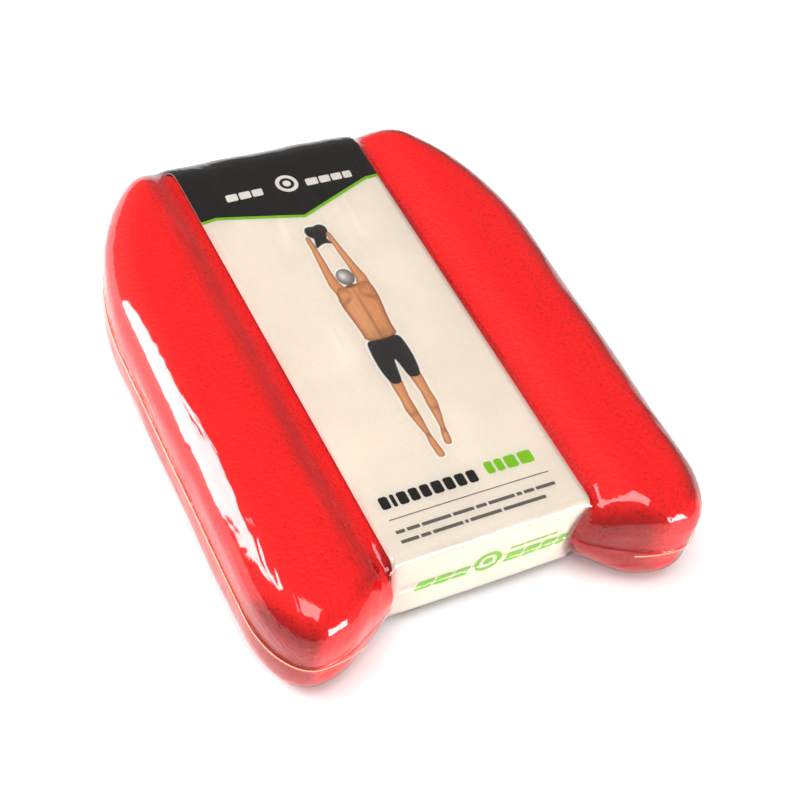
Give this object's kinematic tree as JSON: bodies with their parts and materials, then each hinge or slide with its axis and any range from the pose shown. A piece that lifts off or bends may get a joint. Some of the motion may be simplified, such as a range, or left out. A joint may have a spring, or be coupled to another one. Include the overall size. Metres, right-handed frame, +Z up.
{
  "type": "swim kickboard",
  "caption": "Horseshoe-shaped foam swim kickboard and pull buoy with two thick side lobes and a thinner web, in a printed card sleeve and clear shrink film.",
  "frame": {"origin": "under the middle of the wrapped board, on the surface that it lies on", "axes": "+X across the board, +Y along it towards the straight far edge (the notch and the two tips are at -Y), +Z up out of the printed face"},
  "size_m": [0.2328, 0.3004, 0.0582],
  "materials": {
    "foam": "matt closed-cell EVA foam with a fine pebble grain",
    "card": "coated packaging card, satin",
    "tape": "double-sided tissue tape",
    "film": "clear gloss shrink film"
  },
  "bodies": {
    "root": {"foam_upper": "foam", "foam_lower": "foam", "sleeve_card": "card", "sleeve_tape": "tape", "film_top_web": "film", "film_bottom_web": "film", "film_seal_left": "film", "film_seal_right": "film"}
  },
  "joints": []
}
